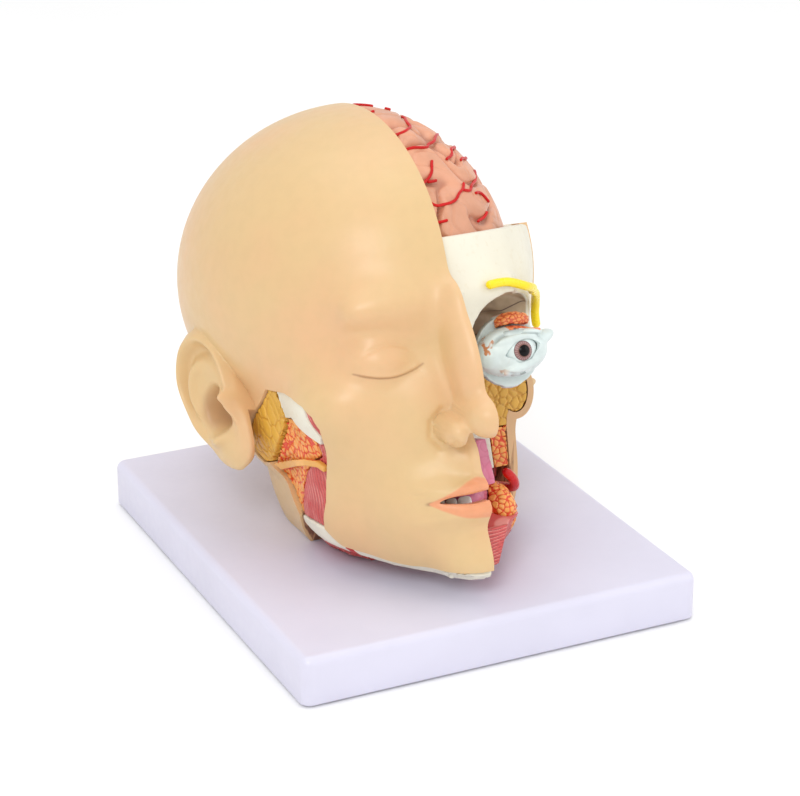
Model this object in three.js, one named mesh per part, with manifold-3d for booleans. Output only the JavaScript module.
// Anatomical head model on a base plate, life size, in millimetres, +Z up.
// The head's right half keeps its skin. On the left half the brain, the frontal bone, the eye
// and the mouth lie open. The head lifts off its post, half the brain and the eye come out.
// The origin is the middle of the plate, at the surface that the plate stands on. The face looks
// along -Y, and the head's own right side is at -X.

import * as THREE from 'three';
import { mergeVertices } from 'three/addons/utils/BufferGeometryUtils.js';
import Module from 'manifold-3d';

const wasm = await Module();
wasm.setup();

// Clearances
const GAP = 0.3;
const SLIDE_GAP = 0.6;
const BRAIN_GAP = 0.8;

// How far a cutting tool runs past what it cuts
const OVERRUN = 1;

// Base plate
const BASE_WIDTH = 194.5;
const BASE_DEPTH = 235;
const BASE_HEIGHT = 23.4;
const BASE_CORNER = 5;
const BASE_EDGE = 4;
const BASE_WALL = 3;
const PANEL_THICKNESS = 3;
const FOOT_RADIUS = 9;
const FOOT_THICKNESS = 2.4;
const FOOT_STAND = 1.2;
const FOOT_INSET = 22;
const BOSS_RADIUS = 6;
const BOSS_INSET = 40;
const SCREW_RADIUS = 1.5;
const SCREW_HEAD_RADIUS = 3;
const SCREW_HEAD_HEIGHT = 1.4;
const SCREW_LENGTH = 10;

// Post and the socket that slips over it
const POST_WIDTH = 20;
const POST_CORNER = 3;
const POST_HEIGHT = 21;
const POST_Y = 30;
const POST_SCREW_RADIUS = 2.5;
const POST_SCREW_HEAD_RADIUS = 5;
const POST_SCREW_HEAD_HEIGHT = 1.8;
const POST_SCREW_LENGTH = 18;
const SOCKET_WALL = 3;
const SOCKET_HEADROOM = 2;

// Where the head sits on the plate: its own frame lies between the ear canals
const HEAD_TILT = THREE.MathUtils.degToRad(20);
const HEAD_Y = 16.5;
const HEAD_Z = 88.5;

// Head shape: joined ellipsoids, in the head's own frame
const CRANIUM = { at: [0, 4, 48], size: [83, 99, 80] };
const FACE_FORMS = [
  { at: [0, -38, -14], size: [61, 58, 62], blend: 22 },
  { at: [0, -46, -60], size: [45, 48, 37], blend: 16 },
  { at: [38, -26, -50], size: [18, 30, 30], blend: 14 },
  { at: [46, -60, -6], size: [18, 21, 14], blend: 16 },
  { at: [0, -84, -82], size: [18, 14, 13], blend: 12 },
  { at: [22, -85, 34], size: [24, 8, 7], blend: 16 },
  { at: [0, 10, -28], size: [54, 54, 76], blend: 14 },
  { at: [54, 0, -14], size: [13, 26, 20], blend: 10 },
];
const EYE_HOLLOW = { at: [32, -109, 13], size: [20, 17, 12], blend: 14 };
const FEATURES = [
  { at: [32, -76, 12], size: [15, 13.5, 12.5], blend: 6 },
  { at: [0, -99, 22], size: [7, 9, 18], blend: 9 },
  { at: [0, -105, 0], size: [8, 10, 22], blend: 8 },
  { at: [0, -114, -19], size: [9.5, 9.5, 9], blend: 6 },
  { at: [12, -103, -24], size: [6.5, 9.5, 6.5], blend: 4 },
  { at: [0, -72, -54], size: [35, 28, 21], blend: 12 },
  { at: [0, -90, -37], size: [11, 9, 8], blend: 8 },
  { at: [0, -84, -49], size: [27, 19, 4.4], blend: 5 },
  { at: [0, -84, -59.5], size: [25, 18.4, 5.4], blend: 5 },
];
const HEAD_CENTRE = [0, -12, 5];
const SKIN_SIDES = [54, 30];
const INNER_SIDES = [36, 20];
const FACE_DENSITY = 0.66;
const MEDIAN_DENSITY = 0.5;
const FAR = 200;
const GOLDEN_ANGLE = Math.PI * (3 - Math.sqrt(5));

// Layers and cuts of the head
const SKIN = 4;
const CORONAL_Y = -11;
const SKIN_LEFT_Y = -20;
const RIM_Z = 60;
const SKULL_BASE_Z = -26;
const NECK_FRONT_Y = -34;
const NECK_SKIN_FRONT_Y = -16;
const NECK_SKIN_LOW = [12, -90];
const FRONTAL_LOW_Z = 8;
const FRONTAL_CORNER = [[CORONAL_Y - GAP, 44], [-22, 53], [-38, 58], [-56, RIM_Z]];
const NASAL_BONE = { width: 7, low: -22, rear: -68 };

// Brain and its hollow
const BRAIN = { at: [0, 4, 42], size: [69, 87, 75] };
const LEFT_BRAIN_RISE = 84.5;
const BRAIN_FRONT_Z = 37;
const BRAIN_STEP_Y = -42;
const BRAIN_STEP_DEPTH = 10;
const BRAIN_BASE_Z = 4;
const CEREBELLUM = { at: [20, 37, -4], size: [22, 22, 14] };
const BRAINSTEM = { at: [0, 7, -10], size: [10, 9, 15] };
const CALLOSUM_DEPTH = 3;
const FOLD_DEPTH = 3;
const FOLD_WIDTH = 0.75;
const FOLD_SPACING = 25;
const FOLD_STRETCH = [1, 0.8, 1.15];
const BEND_SPACING = 38;
const BEND_REACH = 3;

// Orbit and eye
const EYE_X = 33;
const EYE_Z = 5;
const ORBIT_Z = 8.5;
const ORBIT_RADIUS = 23.5;
const ORBIT_FRONT_Y = -78;
const ORBIT_BACK_Y = -51;
const ORBIT_BACK_RADIUS = 14;
const ORBIT_SIDE = { x: 41, z: 11, radius: 19, back: -57 };
const CONE_BACK_RADIUS = 7.4;
const CONE_RADIUS = 17;
const OPTIC_RADIUS = 3;
const OPTIC_END_Y = -41;
const EYEBALL_RADIUS = 12;
const EYEBALL_Y = -80;
const IRIS_RADIUS = 5.8;
const IRIS_DOME = 1.9;
const IRIS_EDGE = 1.6;
const IRIS_SINK = 2.6;
const CONE_LIP = 3;
const LIDS = { at: [34, -79, 4.5], size: [19.5, 10, 12.5] };
const LID_OPENING = { at: [34, -92, 5], size: [11.5, 14, 6] };
const LACRIMAL = { at: [36, -76, 18], size: [9, 7, 4.5] };

// Jaw, mouth and nose
const JAW_ANGLE = [-16, -57];
const CHIN_EDGE = [-90, -90];
const JAW_EDGE = 4;
const CHIN_TURN_Y = -72;
const CHIN_SLOPE = 0.23;
const JAW_WALL = 10;
const INSIDE_JAW = SKIN + 2 * GAP + JAW_WALL;
const GUM_LOW_Z = -62;
const PALATE_LOW_Z = -42;
const RAMUS_FRONT_Y = -41;
const RAMUS_TOP_Z = -20;
const CHEEK_WALL = 4;
const CHEEK_FRONT_Y = -78;
const ARCH_Y = -52;
const ARCH_HALF_WIDTH = 26;
const ARCH_LENGTH = 36;
const TOOTH_THICKNESS = 6.5;
const TEETH_PER_SIDE = 7;
const TOOTH_BULGE = 0.7;
const BITE_Z = -53.5;
const BITE_GAP = 1.2;
const MOUTH_HALF_WIDTH = 23;
const MOUTH_OPENING = 2.6;
const MOUTH_Z = -53.5;
const MOUTH_Y = -104;
const MOUTH_DEPTH = 22;
const CHIN_FLOOR = [-84, -70];
const FLOOR_REAR_Y = -70;
const FLOOR_LEFT_DEPTH = 6;
const FLOOR_LEFT_WIDTH = 25;
const SECTION_DEPTH = 15;
const NASAL_WALL = 4;
const PHARYNX_WALL = 9;
const PALATE_FRONT_Y = -92;
const PALATE_REAR_Y = -48;
const PALATE_TOP_Z = -35;
const TONGUE_CLEARANCE = 1.5;
const SOFT_PALATE_DEPTH = 12;
const SOFT_PALATE = [
  [-47, -36], [-36, -36], [-26, -40], [-17, -49], [-20, -50], [-29, -43.5], [-38, -41],
  [-47, -40.5], [-47, -36],
];
const UPPER_GUM = [[-FAR, -30], [-64, -30], [-60, -50], [-FAR, -50]];
const UPPER_GUM_WIDTH = 8;
const CONCHA_WIDTH = 9;
const CONCHA_HEIGHT = 7.2;
const CONCHA_OUT = 3;
const CONCHAE = [
  { name: 'inferior_concha', y: -64, z: -24, length: 42, tilt: 0.06 },
  { name: 'middle_concha', y: -62, z: -8, length: 34, tilt: 0.2 },
  { name: 'superior_concha', y: -56, z: 6, length: 24, tilt: 0.35 },
];
const TONGUE = { at: [0, -50, -56], size: [19.5, 32, 13] };
const GLAND = { at: [20, -63, -65], size: [9, 16, 13] };

// Cheek window
const GLAND_SINK = 2;
const BONE_SINK = 1.2;
const FAT_SINK = 0.8;
const DUCT_RISE = 0.3;
const WINDOW_INNER_X = -20;
const WINDOW_OUTER_X = -71;

// Left side, in front of the cut through the ear
const LOBE = { at: [60, -16, -16], size: [11, 16, 15.5] };
const LOBE_WALL = 3;
const FAT_TOP_Z = -6;
const FAT_LOW_Z = -33;
const RAMUS_LEFT_X = 44;
const RAMUS_LEFT_WIDTH = 9;
const PTERYGOID_WIDTH = 10;
const LEFT_LOW_Z = -52;

// Nerve and artery
const NERVE_RADIUS = 2;
const NERVE_PATH = [
  [17.7, -93.8, 36], [23.4, -93.2, 36.5], [28.9, -92.1, 36.2], [33.7, -91.1, 34.9],
  [38.8, -89.3, 33.1], [45, -83, 32.5], [51, -75, 32], [56.5, -67, 29.5], [60, -61, 25],
  [61, -58, 19], [60, -57, 12],
];
const ARTERY_RADIUS = 2.2;
const ARTERY_PATH = [
  [36, CORONAL_Y - GAP, -56], [36, -24, -57], [35, -38, -58], [35, -50, -58], [33, -61, -57],
  [30, -67, -53], [25, -70, -48],
];

// Neck bones
const VERTEBRA_RADIUS = 11;
const VERTEBRA_HEIGHT = 18;
const VERTEBRA_Y = 2;

// Ear
const EAR = { at: [77.5, 5, 2], height: 70, width: 41, plate: 4, rim: 3, edge: 1 };
const EAR_RIM_SHARE = 0.62;
const EAR_RIM_INSET = 0.92;
const EAR_BOWL = { at: [-0.8, -4.2, 6.5], size: [9.6, 14, 5] };
const EAR_ROOT = { at: [-6, -9, -6], size: [14, 23, 9] };
const EAR_FLARE = THREE.MathUtils.degToRad(19);
const EAR_LEAN = THREE.MathUtils.degToRad(9);
const LEFT_EAR_SHIFT = [-1.5, 7, 0];

const COLOURS = {
  plate: 0xdcdbe8, rubber: 0x2c2c2e, steel: 0x9a9ca0, socket: 0xd8d4c8, skin: 0xe8c896,
  bone: 0xefe6cd, brain: 0xd9a285, white: 0xf2ece0, muscle: 0xc25a55, fat: 0xd9a832,
  gland: 0xe8923c, duct: 0xe8b04c, mucosa: 0xc9708c, teeth: 0xf6f2e8, nerve: 0xf5de1e,
  artery: 0xd0241c, eye: 0xdfeaea, iris: 0x6a4a3c, cerebellum: 0xc98d72,
};

// Solids

function solidOf(geometry) {
  const plain = geometry.clone();
  plain.deleteAttribute('normal');
  plain.deleteAttribute('uv');
  const merged = mergeVertices(plain, 1e-4);
  const index = merged.index.array;
  const kept = [];
  for (let i = 0; i < index.length; i += 3) {
    const [a, b, c] = [index[i], index[i + 1], index[i + 2]];
    if (a !== b && b !== c && c !== a) kept.push(a, b, c);
  }
  const vertProperties = new Float32Array(merged.attributes.position.array);
  const triVerts = new Uint32Array(kept);
  return new wasm.Manifold(new wasm.Mesh({ numProp: 3, vertProperties, triVerts }));
}

function union(...solids) {
  return solids.reduce((whole, next) => whole.add(next));
}

function cut(solid, ...tools) {
  return tools.reduce((rest, tool) => rest.subtract(tool), solid);
}

function common(...solids) {
  return solids.reduce((rest, next) => rest.intersect(next));
}

function piece(name, solid, colour, roughness = 0.5, metalness = 0) {
  const mesh = solid.getMesh();
  const geometry = new THREE.BufferGeometry();
  const position = new THREE.BufferAttribute(new Float32Array(mesh.vertProperties), 3);
  geometry.setAttribute('position', position);
  geometry.setIndex(new THREE.BufferAttribute(new Uint32Array(mesh.triVerts), 1));
  geometry.computeVertexNormals();
  const material = new THREE.MeshStandardMaterial({ color: colour, roughness, metalness });
  const made = new THREE.Mesh(geometry, material);
  made.name = name;
  return made;
}

function block(x0, x1, y0, y1, z0, z1) {
  const box = new THREE.BoxGeometry(x1 - x0, y1 - y0, z1 - z0);
  box.translate((x0 + x1) / 2, (y0 + y1) / 2, (z0 + z1) / 2);
  return solidOf(box);
}

function ellipsoid(form, grow = 0, around = 20, across = 12) {
  const ball = new THREE.SphereGeometry(1, around, across);
  ball.scale(form.size[0] + grow, form.size[1] + grow, form.size[2] + grow);
  ball.translate(...form.at);
  return solidOf(ball);
}

// A cylinder that stands on z0 at (x, y)
function peg(x, y, z0, z1, radius, sides = 14) {
  const rod = new THREE.CylinderGeometry(radius, radius, z1 - z0, sides);
  rod.rotateX(Math.PI / 2);
  rod.translate(x, y, (z0 + z1) / 2);
  return solidOf(rod);
}

function shapeOf(points) {
  return new THREE.Shape(points.map(([a, b]) => new THREE.Vector2(a, b)));
}

// An outline in (y, z), run from x0 to x1
function sidePrism(points, x0, x1) {
  const prism = new THREE.ExtrudeGeometry(shapeOf(points), {
    depth: x1 - x0, bevelEnabled: false, steps: 1,
  });
  const turn = new THREE.Matrix4().set(0, 0, 1, x0, 1, 0, 0, 0, 0, 1, 0, 0, 0, 0, 0, 1);
  prism.applyMatrix4(turn);
  return solidOf(prism);
}

// A smooth closed outline through the points
function smoothOutline(points, steps = 4) {
  const curve = new THREE.SplineCurve(points.map(([a, b]) => new THREE.Vector2(a, b)));
  const count = (points.length - 1) * steps;
  return curve.getPoints(count).map((p) => [p.x, p.y]);
}

// The outline moved inwards by a distance; its points run either way round
function inset(points, distance) {
  const area = THREE.ShapeUtils.area(points.map(([a, b]) => new THREE.Vector2(a, b)));
  const inward = area > 0 ? distance : -distance;
  return points.map(([a, b], i) => {
    const before = points[(i + points.length - 1) % points.length];
    const after = points[(i + 1) % points.length];
    const first = new THREE.Vector2(a - before[0], b - before[1]).normalize();
    const second = new THREE.Vector2(after[0] - a, after[1] - b).normalize();
    const middle = first.add(second).normalize();
    const slope = Math.max(0.5, middle.dot(second));
    return [a - (middle.y * inward) / slope, b + (middle.x * inward) / slope];
  });
}

function circle(radius, sides) {
  const ring = [];
  for (let i = 0; i < sides; i += 1) {
    const angle = (i * 2 * Math.PI) / sides;
    ring.push([radius * Math.cos(angle), radius * Math.sin(angle)]);
  }
  return ring;
}

function tube(points, radius, sides, steps) {
  const path = new THREE.CatmullRomCurve3(points.map((p) => new THREE.Vector3(...p)));
  const section = shapeOf(circle(radius, sides));
  return solidOf(new THREE.ExtrudeGeometry(section, { steps, extrudePath: path }));
}

// A turned piece along y: rows of [radius, y], the first and last on the axis
function turned(rows, x, z, sides = 28) {
  const profile = rows.map(([radius, y]) => new THREE.Vector2(radius, y));
  const lathe = new THREE.LatheGeometry(profile, sides);
  lathe.translate(x, 0, z);
  return solidOf(lathe);
}

function mirrored(solid) {
  const mesh = solid.getMesh();
  const vertProperties = mesh.vertProperties.map((v, i) => (i % 3 === 0 ? -v : v));
  const triVerts = mesh.triVerts.map((v, i, all) => all[i + [0, 1, -1][i % 3]]);
  return new wasm.Manifold(new wasm.Mesh({ numProp: 3, vertProperties, triVerts }));
}

// Head surface

function ellipsoidDistance(x, y, z, { at, size }) {
  const [a, b, c] = [(x - at[0]) / size[0], (y - at[1]) / size[1], (z - at[2]) / size[2]];
  const far = Math.hypot(a, b, c);
  const slope = Math.hypot(a / size[0], b / size[1], c / size[2]) + 1e-9;
  return (far * (far - 1)) / slope;
}

function blendMin(a, b, width) {
  const share = THREE.MathUtils.clamp(0.5 + (0.5 * (b - a)) / width, 0, 1);
  return b + (a - b) * share - width * share * (1 - share);
}

// Signed distance from the skin, which is the same on both sides of the head
function skinDistance(x, y, z) {
  const side = Math.abs(x);
  let distance = ellipsoidDistance(side, y, z, CRANIUM);
  for (const form of FACE_FORMS) {
    distance = blendMin(distance, ellipsoidDistance(side, y, z, form), form.blend);
  }
  const hollow = ellipsoidDistance(side, y, z, EYE_HOLLOW);
  distance = -blendMin(-distance, hollow, EYE_HOLLOW.blend);
  for (const form of FEATURES) {
    distance = blendMin(distance, ellipsoidDistance(side, y, z, form), form.blend);
  }
  return distance;
}

// The point on the layer at this depth below the skin, in a direction from the head's centre
function layerPoint(direction, depth) {
  const unit = direction.clone().normalize();
  let reach = FAR;
  for (let step = 0; step < 60; step += 1) {
    const [x, y, z] = unit.toArray().map((part, i) => HEAD_CENTRE[i] + part * reach);
    const off = skinDistance(x, y, z) + depth;
    if (Math.abs(off) < 1e-3) break;
    reach -= off * 0.85;
  }
  return unit.multiplyScalar(reach).add(new THREE.Vector3(...HEAD_CENTRE));
}

function onLayer(x, y, z, depth) {
  const direction = new THREE.Vector3(x, y, z).sub(new THREE.Vector3(...HEAD_CENTRE));
  return layerPoint(direction, depth).toArray();
}

const layers = new Map();

// Everything inside the layer at this depth below the skin. The sphere's poles are at the ears,
// and its rings are closer at the face and at the middle of the head. The layers under the skin
// have fewer sides.
function layer(depth) {
  if (layers.has(depth)) return layers.get(depth);
  const sides = depth < SKIN ? SKIN_SIDES : INNER_SIDES;
  const sphere = new THREE.SphereGeometry(1, ...sides);
  const position = sphere.attributes.position;
  const direction = new THREE.Vector3();
  for (let i = 0; i < position.count; i += 1) {
    direction.fromBufferAttribute(position, i);
    const across = Math.asin(THREE.MathUtils.clamp(direction.y, -1, 1));
    const round = Math.atan2(direction.z, direction.x);
    const nearAcross = across - (MEDIAN_DENSITY * Math.sin(2 * across)) / 2;
    const nearRound = round - FACE_DENSITY * Math.sin(round);
    const flat = Math.cos(nearAcross);
    direction.set(Math.sin(nearAcross), -flat * Math.cos(nearRound), flat * Math.sin(nearRound));
    const point = layerPoint(direction, depth);
    position.setXYZ(i, point.x, point.y, point.z);
  }
  let solid = solidOf(sphere);
  if (solid.volume() < 0) solid = mirrored(solid);
  layers.set(depth, solid);
  return solid;
}

// A geometry placed in the plate's frame, as seen from the head's frame
const headPlace = new THREE.Matrix4()
  .makeRotationX(-HEAD_TILT)
  .setPosition(0, HEAD_Y, HEAD_Z);
const plateToHead = headPlace.clone().invert();

function fromPlate(geometry) {
  return solidOf(geometry.applyMatrix4(plateToHead));
}

function blockFromPlate(x0, x1, y0, y1, z0, z1) {
  const box = new THREE.BoxGeometry(x1 - x0, y1 - y0, z1 - z0);
  box.translate((x0 + x1) / 2, (y0 + y1) / 2, (z0 + z1) / 2);
  return fromPlate(box);
}

function roundedSquare(width, corner) {
  const half = width / 2;
  const shape = new THREE.Shape();
  shape.moveTo(-half + corner, -half);
  shape.lineTo(half - corner, -half);
  shape.absarc(half - corner, -half + corner, corner, -Math.PI / 2, 0);
  shape.lineTo(half, half - corner);
  shape.absarc(half - corner, half - corner, corner, 0, Math.PI / 2);
  shape.lineTo(-half + corner, half);
  shape.absarc(-half + corner, half - corner, corner, Math.PI / 2, Math.PI);
  shape.lineTo(-half, -half + corner);
  shape.absarc(-half + corner, -half + corner, corner, Math.PI, Math.PI * 1.5);
  return shape;
}

function squareBar(width, corner, z0, z1) {
  const bar = new THREE.ExtrudeGeometry(roundedSquare(width, corner), {
    depth: z1 - z0, bevelEnabled: false, curveSegments: 4,
  });
  bar.translate(0, POST_Y, z0);
  return bar;
}

// Half spaces of the head, in its own frame
const abovePlate = blockFromPlate(-FAR, FAR, -FAR, FAR, BASE_HEIGHT + GAP, 2 * FAR);
const rightHalf = block(-FAR, 0, -FAR, FAR, -FAR, FAR);

function jawLine(y, drop = 0) {
  const slope = (CHIN_EDGE[1] - JAW_ANGLE[1]) / (CHIN_EDGE[0] - JAW_ANGLE[0]);
  return JAW_ANGLE[1] + slope * (y - JAW_ANGLE[0]) - drop;
}

// Base

function plateOutline(inwards) {
  const half = [BASE_WIDTH / 2 - inwards, BASE_DEPTH / 2 - inwards];
  const corner = Math.max(1, BASE_CORNER - inwards);
  const shape = new THREE.Shape();
  shape.moveTo(-half[0] + corner, -half[1]);
  shape.lineTo(half[0] - corner, -half[1]);
  shape.absarc(half[0] - corner, -half[1] + corner, corner, -Math.PI / 2, 0);
  shape.lineTo(half[0], half[1] - corner);
  shape.absarc(half[0] - corner, half[1] - corner, corner, 0, Math.PI / 2);
  shape.lineTo(-half[0] + corner, half[1]);
  shape.absarc(-half[0] + corner, half[1] - corner, corner, Math.PI / 2, Math.PI);
  shape.lineTo(-half[0], -half[1] + corner);
  shape.absarc(-half[0] + corner, -half[1] + corner, corner, Math.PI, Math.PI * 1.5);
  return shape;
}

function plateSlab(inwards, z0, z1, edge = 0) {
  const slab = new THREE.ExtrudeGeometry(plateOutline(inwards + edge), {
    depth: z1 - z0 - 2 * edge, curveSegments: 4, bevelEnabled: edge > 0,
    bevelThickness: edge, bevelSize: edge, bevelSegments: 3,
  });
  slab.translate(0, 0, z0 + edge);
  return solidOf(slab);
}

function cornersAt(inwards) {
  const [x, y] = [BASE_WIDTH / 2 - inwards, BASE_DEPTH / 2 - inwards];
  return [
    ['front_right', -x, -y],
    ['front_left', x, -y],
    ['rear_right', -x, y],
    ['rear_left', x, y],
  ];
}

const PANEL_LOW = FOOT_STAND;
const PANEL_TOP = PANEL_LOW + PANEL_THICKNESS;
const FOOT_POCKET = FOOT_THICKNESS - FOOT_STAND;
const feet = [...cornersAt(FOOT_INSET), ['centre', 0, 0]];
const bosses = cornersAt(BOSS_INSET);

function baseShell() {
  const outer = common(
    plateSlab(0, PANEL_LOW - 2 * BASE_EDGE, BASE_HEIGHT, BASE_EDGE),
    block(-FAR, FAR, -FAR, FAR, PANEL_LOW, FAR),
  );
  const hollow = plateSlab(BASE_WALL, PANEL_LOW - OVERRUN, BASE_HEIGHT - BASE_WALL);
  const columns = bosses.map(([, x, y]) =>
    peg(x, y, PANEL_TOP + GAP, BASE_HEIGHT - BASE_WALL / 2, BOSS_RADIUS));
  const bores = bosses.map(([, x, y]) =>
    peg(x, y, 0, PANEL_LOW + SCREW_LENGTH + OVERRUN, SCREW_RADIUS + GAP, 8));
  const postHole = solidOf(squareBar(POST_WIDTH + 2 * GAP, POST_CORNER + GAP, PANEL_TOP, FAR));
  return cut(union(cut(outer, hollow), ...columns), postHole, ...bores);
}

function bottomPanel() {
  const panel = plateSlab(BASE_WALL + GAP, PANEL_LOW, PANEL_TOP);
  const pockets = feet.map(([, x, y]) =>
    peg(x, y, 0, PANEL_LOW + FOOT_POCKET + GAP, FOOT_RADIUS + GAP));
  const holes = bosses.map(([, x, y]) => peg(x, y, 0, BASE_HEIGHT, SCREW_RADIUS + GAP, 8));
  const sinks = bosses.map(([, x, y]) =>
    peg(x, y, 0, PANEL_LOW + SCREW_HEAD_HEIGHT + GAP, SCREW_HEAD_RADIUS + GAP, 12));
  const postHole = peg(0, POST_Y, 0, BASE_HEIGHT, POST_SCREW_RADIUS + GAP, 16);
  const postSink = peg(0, POST_Y, 0, PANEL_LOW + POST_SCREW_HEAD_HEIGHT + GAP,
    POST_SCREW_HEAD_RADIUS + GAP, 12);
  return cut(panel, ...pockets, ...holes, ...sinks, postHole, postSink);
}

function rubberFoot(x, y) {
  return peg(x, y, 0, FOOT_THICKNESS, FOOT_RADIUS);
}

function panelScrew(x, y) {
  const head = peg(x, y, PANEL_LOW, PANEL_LOW + SCREW_HEAD_HEIGHT, SCREW_HEAD_RADIUS, 12);
  const shank = peg(x, y, PANEL_LOW + SCREW_HEAD_HEIGHT / 2, PANEL_LOW + SCREW_LENGTH,
    SCREW_RADIUS, 8);
  return union(head, shank);
}

function supportPost() {
  const bar = solidOf(squareBar(POST_WIDTH, POST_CORNER, PANEL_TOP + GAP,
    BASE_HEIGHT + POST_HEIGHT));
  const bore = peg(0, POST_Y, 0, PANEL_LOW + POST_SCREW_LENGTH + OVERRUN,
    POST_SCREW_RADIUS + GAP, 16);
  return cut(bar, bore);
}

function postScrew() {
  const head = peg(0, POST_Y, PANEL_LOW, PANEL_LOW + POST_SCREW_HEAD_HEIGHT,
    POST_SCREW_HEAD_RADIUS, 12);
  const shank = peg(0, POST_Y, PANEL_LOW + POST_SCREW_HEAD_HEIGHT / 2,
    PANEL_LOW + POST_SCREW_LENGTH, POST_SCREW_RADIUS, 16);
  return union(head, shank);
}

// Neck

const SOCKET_TOP = BASE_HEIGHT + POST_HEIGHT + SOCKET_HEADROOM;
const SOCKET_OUT = POST_WIDTH + 2 * (SLIDE_GAP + SOCKET_WALL);

function neckSocket() {
  const cup = fromPlate(squareBar(SOCKET_OUT, POST_CORNER + SOCKET_WALL, BASE_HEIGHT + GAP,
    SOCKET_TOP + SOCKET_WALL));
  const inside = fromPlate(squareBar(POST_WIDTH + 2 * SLIDE_GAP, POST_CORNER, 0, SOCKET_TOP));
  return cut(cup, inside);
}

function socketRoom() {
  return fromPlate(squareBar(SOCKET_OUT + 2 * GAP, POST_CORNER + SOCKET_WALL + GAP, 0,
    SOCKET_TOP + SOCKET_WALL + GAP));
}

function vertebra(grow = 0) {
  const rod = new THREE.CylinderGeometry(VERTEBRA_RADIUS + grow, VERTEBRA_RADIUS + grow,
    VERTEBRA_HEIGHT + 2 * grow, 20);
  rod.rotateX(Math.PI / 2);
  rod.translate(0, VERTEBRA_Y, BASE_HEIGHT + GAP + VERTEBRA_HEIGHT / 2);
  return fromPlate(rod);
}

function neckCore() {
  const outline = [
    [CORONAL_Y, SKULL_BASE_Z - GAP], [FAR, SKULL_BASE_Z - GAP], [FAR, -FAR],
    [NECK_FRONT_Y, -FAR], [NECK_FRONT_Y, jawLine(NECK_FRONT_Y, JAW_EDGE + GAP)],
    [CORONAL_Y, jawLine(CORONAL_Y, JAW_EDGE + GAP)],
  ];
  const whole = common(layer(SKIN + GAP), sidePrism(outline, -FAR, FAR), abovePlate);
  return cut(whole, socketRoom(), vertebra(GAP));
}

// Ear, made on the left side and mirrored for the right

function earOutline() {
  const { height, width } = EAR;
  return smoothOutline([
    [-0.42 * width, 0.06 * height], [-0.32 * width, 0.34 * height], [-0.02 * width, 0.48 * height],
    [0.32 * width, 0.42 * height], [0.52 * width, 0.2 * height], [0.46 * width, -0.06 * height],
    [0.3 * width, -0.28 * height], [0.12 * width, -0.44 * height], [-0.16 * width, -0.5 * height],
    [-0.42 * width, -0.36 * height], [-0.42 * width, 0.06 * height],
  ], 2);
}

function placeEar(geometry) {
  geometry.rotateX(Math.PI / 2);
  geometry.rotateZ(Math.PI / 2);
  geometry.rotateX(-EAR_LEAN);
  geometry.rotateZ(-EAR_FLARE);
  geometry.translate(...EAR.at);
  return solidOf(geometry);
}

function earBall(form) {
  const ball = new THREE.SphereGeometry(1, 12, 8);
  ball.scale(...form.size);
  ball.translate(...form.at);
  return placeEar(ball);
}

function leftEar() {
  const outline = earOutline().slice(0, -1);
  const plate = new THREE.ExtrudeGeometry(shapeOf(outline), {
    depth: EAR.plate, bevelEnabled: true, bevelThickness: EAR.edge, bevelSize: EAR.edge,
    bevelSegments: 1,
  });
  const rimPoints = outline.slice(0, Math.round(outline.length * EAR_RIM_SHARE)).map(([a, b]) =>
    new THREE.Vector3(a * EAR_RIM_INSET, b * EAR_RIM_INSET, EAR.plate + EAR.edge));
  const rim = new THREE.ExtrudeGeometry(shapeOf(circle(EAR.rim, 6)), {
    steps: 16, extrudePath: new THREE.CatmullRomCurve3(rimPoints),
  });
  const whole = union(placeEar(plate), placeEar(rim), earBall(EAR_ROOT));
  return cut(whole, earBall(EAR_BOWL));
}

// Skin

function mouthOpening() {
  return ellipsoid({ at: [0, MOUTH_Y, MOUTH_Z], size: [MOUTH_HALF_WIDTH, MOUTH_DEPTH, MOUTH_OPENING] });
}

const CHEEK_FAT = [
  [-35, 3], [-29, 4], [-20, -1], [-9, -7], [-1, -13], [4, -20], [4, -27], [1, -31], [-5, -31],
  [-14, -27], [-21, -21], [-36, -10],
];
const CHEEK_BONE = [
  [-35, 3], [-46, 2], [-54, 0], [-64, -4], [-64, -12], [-64, -19], [-60, -23], [-57, -20],
  [-46, -10], [-36, -10],
];
const CHEEK_MUSCLE = [[-64, -4], [-69, -9], [-69, -15], [-62, -26], [-60, -23], [-64, -19], [-64, -12]];
const PAROTID = [
  [-36, -10], [-46, -10], [-57, -20], [-54, -28], [-45, -31], [-37, -35], [-34, -38],
  [-22, -50], [-17, -56], [-12, -48], [-9, -42], [-5, -36], [-5, -31], [-14, -27], [-21, -21],
];
const MASSETER = [
  [-57, -20], [-60, -23], [-62, -26], [-57, -33], [-53, -40], [-49, -49], [-44, -56],
  [-41, -62], [-30, -58.5], [-17, -56], [-22, -50], [-34, -38], [-37, -35], [-45, -31], [-54, -28],
];
const DUCT = [
  [-8, -31], [-20, -30], [-30, -29], [-43, -28], [-52, -29], [-56, -32.5], [-54, -36], [-49, -33.5],
  [-40, -32.5], [-26, -34], [-12, -36],
];
const WINDOW = [
  [-35, 3], [-29, 4], [-20, -1], [-9, -7], [-1, -13], [4, -20], [4, -27], [1, -31], [-5, -31],
  [-5, -36], [-9, -42], [-12, -48], [-17, -56], [-30, -58.5], [-41, -62], [-44, -56], [-49, -49],
  [-53, -40], [-57, -33], [-62, -26], [-69, -15], [-69, -9], [-64, -4], [-54, 0], [-46, 2],
];
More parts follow.
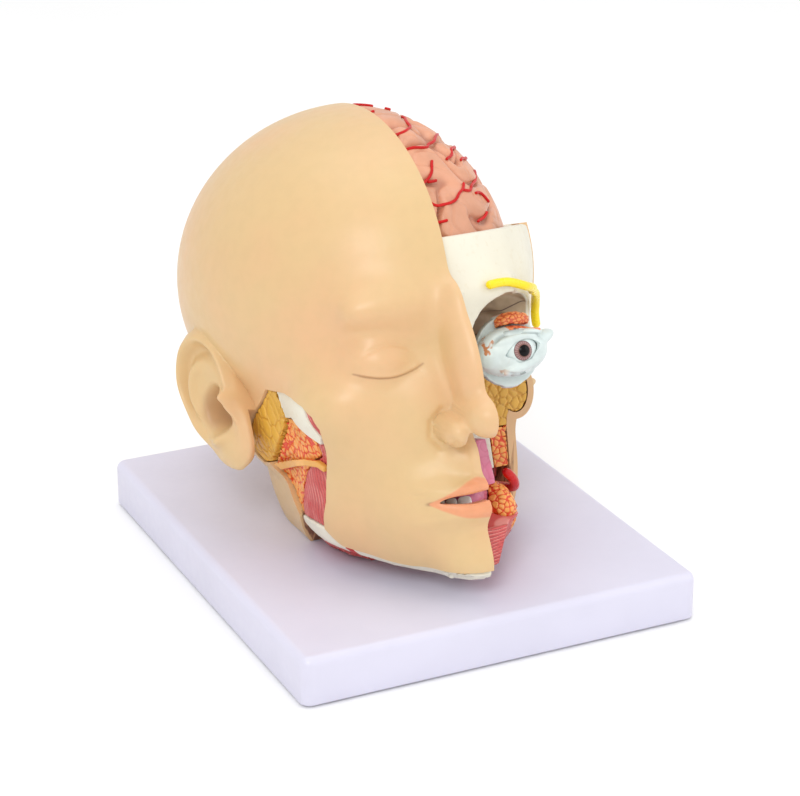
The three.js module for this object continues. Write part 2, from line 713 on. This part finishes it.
// The skin's lower edge is flatter below the chin, so the bone shows there too
const CHIN_LINE = [
  [CHIN_TURN_Y, jawLine(CHIN_TURN_Y)],
  [-FAR, jawLine(CHIN_TURN_Y) - CHIN_SLOPE * (FAR + CHIN_TURN_Y)],
];
const JAW_STRIPE = [
  [-17, -56], [-30, -58.5], [-41, -62], [-46, jawLine(-46)], ...CHIN_LINE,
  [-FAR, jawLine(-FAR, JAW_EDGE)], [JAW_ANGLE[0], jawLine(JAW_ANGLE[0], JAW_EDGE)],
];

function skinRight() {
  const shell = cut(union(layer(0), mirrored(leftEar())), layer(SKIN));
  const belowJaw = sidePrism([
    ...[...CHIN_LINE].reverse(), [NECK_SKIN_FRONT_Y, jawLine(NECK_SKIN_FRONT_Y)],
    NECK_SKIN_LOW, [NECK_SKIN_LOW[0], -FAR], [-FAR, -FAR],
  ], -FAR, FAR);
  const window = sidePrism(WINDOW, WINDOW_OUTER_X, WINDOW_INNER_X);
  const stripe = sidePrism(inset(JAW_STRIPE, -GAP), -FAR, FAR);
  return common(cut(shell, belowJaw, window, stripe, mouthOpening()), rightHalf, abovePlate);
}

function skinLeft() {
  const outside = union(layer(0), leftEar().translate(LEFT_EAR_SHIFT), ellipsoid(LOBE));
  const shell = cut(outside, layer(SKIN), ellipsoid(LOBE, -LOBE_WALL));
  const kept = block(GAP, FAR, SKIN_LEFT_Y, FAR, -FAR, RIM_Z);
  return common(shell, kept, abovePlate);
}

// Brain and skull

function brainForm(gap) {
  const profile = [
    [-FAR, BRAIN_FRONT_Z - gap], [BRAIN_STEP_Y - gap, BRAIN_FRONT_Z - gap],
    [BRAIN_STEP_Y + BRAIN_STEP_DEPTH - gap, BRAIN_BASE_Z - gap], [FAR, BRAIN_BASE_Z - gap],
    [FAR, FAR], [-FAR, FAR],
  ];
  return common(ellipsoid(BRAIN, gap, 32, 20), sidePrism(profile, -FAR, FAR));
}

// The hollow keeps its widest outline up to the rim, so the brain half can rise
function cranialHollow() {
  const top = RIM_Z + OVERRUN;
  return union(brainForm(BRAIN_GAP), ovalBar(BRAIN, BRAIN.at[2], top, 32));
}

// An upright bar with the form's oval section, a brain gap wider
function ovalBar(form, z0, z1, sides = 20) {
  const bar = new THREE.CylinderGeometry(1, 1, z1 - z0, sides);
  bar.rotateX(Math.PI / 2);
  bar.rotateZ(Math.PI / 2);
  bar.scale(form.size[0] + BRAIN_GAP, form.size[1] + BRAIN_GAP, 1);
  bar.translate(form.at[0], form.at[1], (z0 + z1) / 2);
  return solidOf(bar);
}

function hindHollow() {
  const below = block(-FAR, FAR, -FAR, FAR, -FAR, BRAIN_BASE_Z);
  const small = common(ellipsoid(CEREBELLUM, BRAIN_GAP), below);
  const up = ovalBar(CEREBELLUM, CEREBELLUM.at[2], BRAIN_BASE_Z + OVERRUN);
  const hole = ovalBar(BRAINSTEM, SKULL_BASE_Z - OVERRUN, BRAIN_BASE_Z + OVERRUN);
  return union(small, up, hole);
}

const NASAL_OUTLINE = smoothOutline([
  [-118, -31], [-120, -20], [-112, 2], [-92, 16], [-70, 21], [-50, 17], [-36, 8], [-31, -6],
  [-30, -22], [-32, -34], [-60, PALATE_TOP_Z], [-96, PALATE_TOP_Z], [-118, -31],
], 2).slice(0, -1);
const PALATE_OUTLINE = [
  [PALATE_FRONT_Y, PALATE_TOP_Z], [PALATE_FRONT_Y, PALATE_LOW_Z], [PALATE_REAR_Y, PALATE_LOW_Z],
  [PALATE_REAR_Y, PALATE_TOP_Z],
];
const PALATE_ROOM = [
  [-FAR, PALATE_TOP_Z], [-FAR, -FAR], [RAMUS_FRONT_Y + OVERRUN, -FAR],
  [RAMUS_FRONT_Y + OVERRUN, PALATE_TOP_Z],
];
const PHARYNX_OUTLINE = [
  [-29, 4], [CORONAL_Y - GAP, 4], [CORONAL_Y - GAP, -48], [-14, -50], [-15.5, -46], [-22, -36],
  [-26, -22],
];

function skullRight() {
  const outline = [
    [-FAR, PALATE_LOW_Z], [RAMUS_FRONT_Y, PALATE_LOW_Z], [RAMUS_FRONT_Y, RAMUS_TOP_Z + GAP],
    [CORONAL_Y - GAP, RAMUS_TOP_Z + GAP], [CORONAL_Y - GAP, SKULL_BASE_Z], [FAR, SKULL_BASE_Z],
    [FAR, FAR], [-FAR, FAR],
  ];
  const whole = common(layer(SKIN + GAP), sidePrism(outline, -FAR, 0));
  const rooms = [NASAL_OUTLINE, PALATE_ROOM, PHARYNX_OUTLINE].map((room) =>
    sidePrism(inset(room, -GAP / 2), -SECTION_DEPTH, OVERRUN));
  return cut(whole, brainForm(BRAIN_GAP), ...rooms);
}

function skullLeft() {
  const whole = common(layer(SKIN + GAP), block(GAP, FAR, CORONAL_Y, FAR, SKULL_BASE_Z, RIM_Z));
  return cut(whole, cranialHollow(), hindHollow());
}

// The orbit, and the canal behind it for the optic nerve
function orbitRooms() {
  const orbit = turned([
    [0, ORBIT_BACK_Y], [ORBIT_BACK_RADIUS, ORBIT_BACK_Y], [ORBIT_RADIUS, ORBIT_FRONT_Y],
    [ORBIT_RADIUS, -FAR], [0, -FAR],
  ].reverse(), EYE_X, ORBIT_Z, 32);
  const { x, z, radius, back } = ORBIT_SIDE;
  const side = turned([[0, back], [radius, back], [radius, -FAR], [0, -FAR]].reverse(), x, z, 32);
  const canal = turned([
    [0, OPTIC_END_Y], [OPTIC_RADIUS + SLIDE_GAP, OPTIC_END_Y],
    [OPTIC_RADIUS + SLIDE_GAP, ORBIT_BACK_Y - OVERRUN], [0, ORBIT_BACK_Y - OVERRUN],
  ].reverse(), EYE_X, EYE_Z, 16);
  return [orbit, side, canal];
}

function frontalBone() {
  const outline = [
    [-FAR, FRONTAL_LOW_Z], [CORONAL_Y - GAP, FRONTAL_LOW_Z], ...FRONTAL_CORNER, [-FAR, RIM_Z],
  ];
  const { width, low, rear } = NASAL_BONE;
  const nasal = block(GAP, width, -FAR, rear, low, FRONTAL_LOW_Z + OVERRUN);
  const forms = union(sidePrism(outline, GAP, FAR), nasal);
  return cut(common(layer(SKIN + GAP), forms), cranialHollow(), ...orbitRooms());
}

const CALLOSUM = [
  ...smoothOutline([[-34, 34], [-40, 44], [-30, 57], [-5, 64], [22, 60], [36, 46], [35, 34]], 3),
  ...smoothOutline([[27, 35], [27, 43], [17, 52], [-4, 56], [-24, 50], [-31, 43], [-28, 35]], 3),
];

function rightBrain() {
  const callosum = sidePrism(inset(CALLOSUM, -GAP), -CALLOSUM_DEPTH - GAP, OVERRUN);
  return cut(common(brainForm(0), block(-FAR, -GAP, -FAR, FAR, -FAR, FAR)), callosum);
}

// A smooth field made of waves in evenly spread directions; its zero lines wind like brain folds
function waveField([x, y, z], spacing, seed, waves) {
  let sum = 0;
  for (let k = 0; k < waves; k += 1) {
    const up = 1 - (2 * k + 1) / waves;
    const flat = Math.sqrt(1 - up * up);
    const turn = GOLDEN_ANGLE * (k + 7 * seed);
    const along = x * flat * Math.cos(turn) + y * flat * Math.sin(turn) + z * up;
    sum += Math.cos((along * 2 * Math.PI) / spacing + GOLDEN_ANGLE * (k + 1) * (k + seed));
  }
  return sum * Math.sqrt(2 / waves);
}

// How far a point of the brain's surface sinks into a fold
function foldDepth(point) {
  const bend = [11, 12, 13].map((seed) => BEND_REACH * waveField(point, BEND_SPACING, seed, 12));
  const bent = point.map((value, axis) => (value + bend[axis]) * FOLD_STRETCH[axis]);
  const share = Math.min(1, Math.abs(waveField(bent, FOLD_SPACING, 4, 40)) / FOLD_WIDTH);
  return FOLD_DEPTH * (1 - share * share * (3 - 2 * share));
}

function folded(solid, { at, size }) {
  return solid.warp((vertex) => {
    const out = new THREE.Vector3(...size.map((reach, axis) => (vertex[axis] - at[axis]) / reach ** 2));
    out.setLength(foldDepth([...vertex]));
    out.toArray().forEach((step, axis) => { vertex[axis] -= step; });
  });
}

// The left half rises higher than the right one, because no skull lies over it
function leftBrain() {
  const [across, along] = BRAIN.size;
  const crown = { at: BRAIN.at, size: [across, along, LEFT_BRAIN_RISE] };
  const dome = folded(ellipsoid(crown, 0, 92, 56), crown);
  const above = block(-FAR, FAR, -FAR, FAR, BRAIN.at[2] - OVERRUN, FAR);
  const below = block(-FAR, FAR, -FAR, FAR, -FAR, BRAIN.at[2]);
  const whole = union(common(dome, above), common(brainForm(0), below));
  return common(whole, block(SLIDE_GAP, FAR, -FAR, FAR, -FAR, FAR));
}

function cerebellum() {
  const kept = block(SLIDE_GAP, FAR, -FAR, FAR, -FAR, BRAIN_BASE_Z - GAP);
  return cut(common(ellipsoid(CEREBELLUM), kept), ellipsoid(BRAINSTEM, GAP, 20, 14));
}

function brainstem() {
  const kept = block(SLIDE_GAP, FAR, -FAR, FAR, SKULL_BASE_Z + GAP, BRAIN_BASE_Z - GAP);
  return common(ellipsoid(BRAINSTEM, 0, 20, 14), kept);
}

// Section of the right half: nose, palate and throat

function nasalWall() {
  const sheet = sidePrism(inset(NASAL_OUTLINE, GAP), -SECTION_DEPTH + GAP,
    -SECTION_DEPTH + NASAL_WALL);
  return common(sheet, layer(SKIN + GAP));
}

function concha({ y, z, length, tilt }) {
  const wall = -SECTION_DEPTH + NASAL_WALL;
  const ridge = new THREE.SphereGeometry(1, 12, 8);
  ridge.scale(CONCHA_WIDTH / 2, length / 2, CONCHA_HEIGHT / 2);
  ridge.rotateX(tilt);
  ridge.translate(wall + CONCHA_OUT, y, z);
  return common(solidOf(ridge), block(wall + GAP, 0, -FAR, FAR, -FAR, FAR));
}

function hardPalate() {
  const plate = sidePrism(inset(PALATE_OUTLINE, GAP), -SECTION_DEPTH + GAP, 0);
  return common(plate, layer(SKIN + GAP));
}

function facialArtery(grow = 0) {
  return tube(ARTERY_PATH, ARTERY_RADIUS + grow, 8, 20);
}

function upperGumLeft() {
  const side = sidePrism(UPPER_GUM, GAP, UPPER_GUM_WIDTH);
  return cut(common(side, layer(SKIN + GAP)), ellipsoid(TONGUE, GAP), facialArtery(GAP));
}

function softPalate() {
  return sidePrism(smoothOutline(SOFT_PALATE, 2).slice(0, -1), -SOFT_PALATE_DEPTH, 0);
}

function pharynx() {
  return sidePrism(inset(PHARYNX_OUTLINE, GAP), -SECTION_DEPTH + GAP, -SECTION_DEPTH + PHARYNX_WALL);
}

// Jaw and mouth

function mandible() {
  const body = sidePrism([
    [-FAR, GUM_LOW_Z], [RAMUS_FRONT_Y, GUM_LOW_Z], [RAMUS_FRONT_Y, RAMUS_TOP_Z],
    [CORONAL_Y - GAP, RAMUS_TOP_Z], [CORONAL_Y - GAP, jawLine(CORONAL_Y, JAW_EDGE)],
    [-FAR, jawLine(-FAR, JAW_EDGE)],
  ], -FAR, 0);
  const stripe = common(layer(BONE_SINK), sidePrism(JAW_STRIPE, -FAR, 0));
  const bone = union(common(layer(SKIN + GAP), body), stripe);
  return cut(bone, layer(INSIDE_JAW - GAP));
}

function cheekWall() {
  const band = cut(layer(SKIN + GAP), layer(SKIN + GAP + CHEEK_WALL));
  const kept = block(-FAR, 0, CHEEK_FRONT_Y, RAMUS_FRONT_Y - GAP, GUM_LOW_Z + GAP,
    PALATE_LOW_Z - GAP);
  return common(band, kept);
}

function mouthFloor() {
  const outline = [
    [-FAR, CHIN_FLOOR[1]], CHIN_FLOOR, [FLOOR_REAR_Y, GUM_LOW_Z - GAP],
    [NECK_FRONT_Y - GAP, GUM_LOW_Z - GAP], [NECK_FRONT_Y - GAP, jawLine(NECK_FRONT_Y, JAW_EDGE)],
    [-FAR, jawLine(-FAR, JAW_EDGE)],
  ];
  const right = common(layer(INSIDE_JAW), sidePrism(outline, -FAR, OVERRUN));
  const left = common(layer(FLOOR_LEFT_DEPTH), sidePrism(outline, 0, FLOOR_LEFT_WIDTH));
  return cut(union(right, left), ellipsoid(GLAND, GAP), ellipsoid(TONGUE, GAP), facialArtery(GAP));
}

function tongue() {
  const below = block(-FAR, FAR, -FAR, FAR, -FAR, PALATE_LOW_Z - TONGUE_CLEARANCE);
  return common(ellipsoid(TONGUE), below, layer(INSIDE_JAW));
}

function sublingualGland() {
  return cut(ellipsoid(GLAND), ellipsoid(TONGUE, GAP), facialArtery(GAP));
}

// One row of teeth, from the middle backwards, along the arch
function toothRow(z0, z1) {
  const outer = [];
  const inner = [];
  const steps = TEETH_PER_SIDE * 4;
  for (let i = 0; i <= steps; i += 1) {
    const angle = (i / steps) * (Math.PI / 2);
    const bulge = TOOTH_BULGE * Math.abs(Math.sin((i / 4) * Math.PI));
    const [across, along] = [-Math.sin(angle), -Math.cos(angle)];
    outer.push([(ARCH_HALF_WIDTH + bulge) * across, ARCH_Y + (ARCH_LENGTH + bulge) * along]);
    const back = TOOTH_THICKNESS - bulge;
    inner.push([(ARCH_HALF_WIDTH - back) * across, ARCH_Y + (ARCH_LENGTH - back) * along]);
  }
  const row = new THREE.ExtrudeGeometry(shapeOf([...outer, ...inner.reverse()]), {
    depth: z1 - z0, bevelEnabled: false,
  });
  row.translate(0, 0, z0);
  return common(solidOf(row), block(-FAR, 0, -FAR, FAR, -FAR, FAR));
}

function upperTeeth() {
  return toothRow(BITE_Z + BITE_GAP / 2, PALATE_LOW_Z - GAP);
}

function lowerTeeth() {
  const room = ellipsoid(TONGUE, GAP);
  return cut(toothRow(GUM_LOW_Z + GAP, BITE_Z - BITE_GAP / 2), room);
}

// Cheek window inlays: a piece of the layer between two depths, inside an outline

function inlay(outline, top, bottom) {
  const shell = cut(layer(top), layer(bottom));
  return common(shell, sidePrism(inset(outline, GAP), -FAR, WINDOW_INNER_X));
}

function parotidDuct() {
  return inlay(DUCT, -DUCT_RISE, GLAND_SINK - GAP);
}

// Left side, seen at the cut in front of the ear

function leftBlock(x0, x1, z0, z1) {
  const inside = union(layer(SKIN + GAP), ellipsoid(LOBE, -LOBE_WALL - GAP));
  return common(inside, block(x0, x1, SKIN_LEFT_Y, CORONAL_Y - GAP, z0, z1));
}

function supraorbitalNerve() {
  const depth = SKIN - GAP - NERVE_RADIUS;
  return tube(NERVE_PATH.map(([x, y, z]) => onLayer(x, y, z, depth)), NERVE_RADIUS, 8, 22);
}

// Eye, which draws out forwards

const EYEBALL_FRONT = EYEBALL_Y - EYEBALL_RADIUS;
const CONE_FRONT_Y = ORBIT_FRONT_Y + CONE_LIP;

function eyeConeForm(grow) {
  const [back, front] = [ORBIT_BACK_Y - GAP + grow, CONE_FRONT_Y - grow];
  const narrow = CONE_BACK_RADIUS + grow;
  const wide = CONE_RADIUS + grow;
  return turned([
    [0, back], [narrow, back], [wide, front + CONE_LIP], [wide - 1, front], [0, front],
  ].reverse(), EYE_X, EYE_Z, 24);
}

function eyeCone() {
  return cut(eyeConeForm(0), eyeballForm(GAP));
}

function eyeballForm(grow) {
  const size = Array(3).fill(EYEBALL_RADIUS);
  return ellipsoid({ at: [EYE_X, EYEBALL_Y, EYE_Z], size }, grow, 20, 14);
}

function irisDisc(grow) {
  const radius = IRIS_RADIUS + grow;
  return turned([
    [0, EYEBALL_FRONT + 1 - IRIS_DOME], [radius, EYEBALL_FRONT + IRIS_SINK - IRIS_EDGE],
    [radius, EYEBALL_FRONT + IRIS_SINK], [0, EYEBALL_FRONT + IRIS_SINK],
  ], EYE_X, EYE_Z, 20);
}

function eyeball() {
  const front = block(-FAR, FAR, -FAR, EYEBALL_FRONT + IRIS_SINK + GAP, -FAR, FAR);
  return cut(eyeballForm(0), front);
}

function eyelids() {
  const front = block(-FAR, FAR, -FAR, CONE_FRONT_Y - GAP, -FAR, FAR);
  const almond = common(ellipsoid(LIDS), front);
  return cut(almond, eyeballForm(GAP), ellipsoid(LID_OPENING), irisDisc(GAP));
}

function opticNerve() {
  return turned([
    [0, OPTIC_END_Y - GAP], [OPTIC_RADIUS, OPTIC_END_Y - GAP],
    [OPTIC_RADIUS, ORBIT_BACK_Y], [0, ORBIT_BACK_Y],
  ].reverse(), EYE_X, EYE_Z, 16);
}

function lacrimalGland() {
  const gland = ellipsoid(LACRIMAL, 0, 20, 12);
  return cut(gland, ellipsoid(LIDS, GAP), eyeballForm(GAP), eyeConeForm(GAP));
}

// Assembly

const model = new THREE.Group();
const head = new THREE.Group();
head.rotation.x = -HEAD_TILT;
head.position.set(0, HEAD_Y, HEAD_Z);
model.add(head);

model.add(piece('base_shell', baseShell(), COLOURS.plate, 0.35));
model.add(piece('bottom_panel', bottomPanel(), COLOURS.plate, 0.5));
for (const [name, x, y] of feet) {
  model.add(piece(`rubber_foot_${name}`, rubberFoot(x, y), COLOURS.rubber, 0.9));
}
for (const [name, x, y] of bosses) {
  model.add(piece(`panel_screw_${name}`, panelScrew(x, y), COLOURS.steel, 0.3, 1));
}
model.add(piece('support_post', supportPost(), COLOURS.socket, 0.4));
model.add(piece('post_screw', postScrew(), COLOURS.steel, 0.3, 1));

head.add(piece('skin_right', skinRight(), COLOURS.skin, 0.45));
head.add(piece('skin_left', skinLeft(), COLOURS.skin, 0.45));
head.add(piece('skull_right', skullRight(), COLOURS.bone, 0.5));
head.add(piece('skull_left', skullLeft(), COLOURS.bone, 0.5));
head.add(piece('frontal_bone_left', frontalBone(), COLOURS.bone, 0.5));
head.add(piece('neck_core', neckCore(), COLOURS.muscle, 0.5));
head.add(piece('neck_socket', neckSocket(), COLOURS.socket, 0.5));
head.add(piece('cervical_vertebra', vertebra(), COLOURS.bone, 0.5));
head.add(piece('mandible_right', mandible(), COLOURS.bone, 0.45));
head.add(piece('buccinator_right', cheekWall(), COLOURS.muscle, 0.5));
head.add(piece('mylohyoid_muscle', mouthFloor(), COLOURS.muscle, 0.5));
head.add(piece('tongue', tongue(), COLOURS.mucosa, 0.4));
head.add(piece('sublingual_gland', sublingualGland(), COLOURS.gland, 0.5));
head.add(piece('upper_teeth_right', upperTeeth(), COLOURS.teeth, 0.25));
head.add(piece('lower_teeth_right', lowerTeeth(), COLOURS.teeth, 0.25));
head.add(piece('hard_palate', hardPalate(), COLOURS.bone, 0.5));
head.add(piece('upper_gum_left', upperGumLeft(), COLOURS.mucosa, 0.4));
head.add(piece('soft_palate', softPalate(), COLOURS.mucosa, 0.4));
head.add(piece('nasal_wall', nasalWall(), COLOURS.mucosa, 0.4));
for (const form of CONCHAE) {
  head.add(piece(form.name, concha(form), COLOURS.mucosa, 0.4));
}
head.add(piece('pharynx_wall', pharynx(), COLOURS.mucosa, 0.4));
head.add(piece('brain_right', rightBrain(), COLOURS.brain, 0.5));
head.add(piece('corpus_callosum', sidePrism(CALLOSUM, -CALLOSUM_DEPTH, -GAP), COLOURS.white, 0.5));
head.add(piece('cheek_fat_right', inlay(CHEEK_FAT, FAT_SINK, SKIN), COLOURS.fat, 0.4));
head.add(piece('zygomatic_bone_right', inlay(CHEEK_BONE, BONE_SINK, SKIN), COLOURS.bone, 0.4));
head.add(piece('zygomatic_muscle_right', inlay(CHEEK_MUSCLE, BONE_SINK, SKIN), COLOURS.muscle, 0.4));
head.add(piece('parotid_gland_right', inlay(PAROTID, GLAND_SINK, SKIN), COLOURS.gland, 0.4));
head.add(piece('masseter_right', inlay(MASSETER, GLAND_SINK, SKIN), COLOURS.muscle, 0.4));
head.add(piece('parotid_duct_right', parotidDuct(), COLOURS.duct, 0.4));
head.add(piece('ear_fat_left', leftBlock(RAMUS_LEFT_X + GAP, FAR, FAT_LOW_Z, FAT_TOP_Z), COLOURS.fat, 0.4));
head.add(piece('parotid_gland_left', leftBlock(RAMUS_LEFT_X + GAP, FAR, LEFT_LOW_Z, FAT_LOW_Z - GAP),
  COLOURS.gland, 0.4));
head.add(piece('mandible_ramus_left', leftBlock(RAMUS_LEFT_X - RAMUS_LEFT_WIDTH, RAMUS_LEFT_X,
  LEFT_LOW_Z, FAT_TOP_Z), COLOURS.bone, 0.4));
head.add(piece('pterygoid_muscle_left', leftBlock(RAMUS_LEFT_X - RAMUS_LEFT_WIDTH - PTERYGOID_WIDTH,
  RAMUS_LEFT_X - RAMUS_LEFT_WIDTH - GAP, LEFT_LOW_Z, FAT_TOP_Z), COLOURS.muscle, 0.4));
head.add(piece('supraorbital_nerve', supraorbitalNerve(), COLOURS.nerve, 0.4));
head.add(piece('facial_artery_left', facialArtery(), COLOURS.artery, 0.4));

head.add(piece('brain_left', leftBrain(), COLOURS.brain, 0.5));
head.add(piece('cerebellum_left', cerebellum(), COLOURS.cerebellum, 0.5));
head.add(piece('brainstem_left', brainstem(), COLOURS.white, 0.5));

head.add(piece('eyeball', eyeball(), COLOURS.eye, 0.2));
head.add(piece('iris', irisDisc(0), COLOURS.iris, 0.2));
head.add(piece('eyelids', eyelids(), COLOURS.eye, 0.35));
head.add(piece('eye_muscle_cone', eyeCone(), COLOURS.muscle, 0.4));
head.add(piece('lacrimal_gland', lacrimalGland(), COLOURS.gland, 0.4));
head.add(piece('optic_nerve', opticNerve(), COLOURS.nerve, 0.4));

export default model;
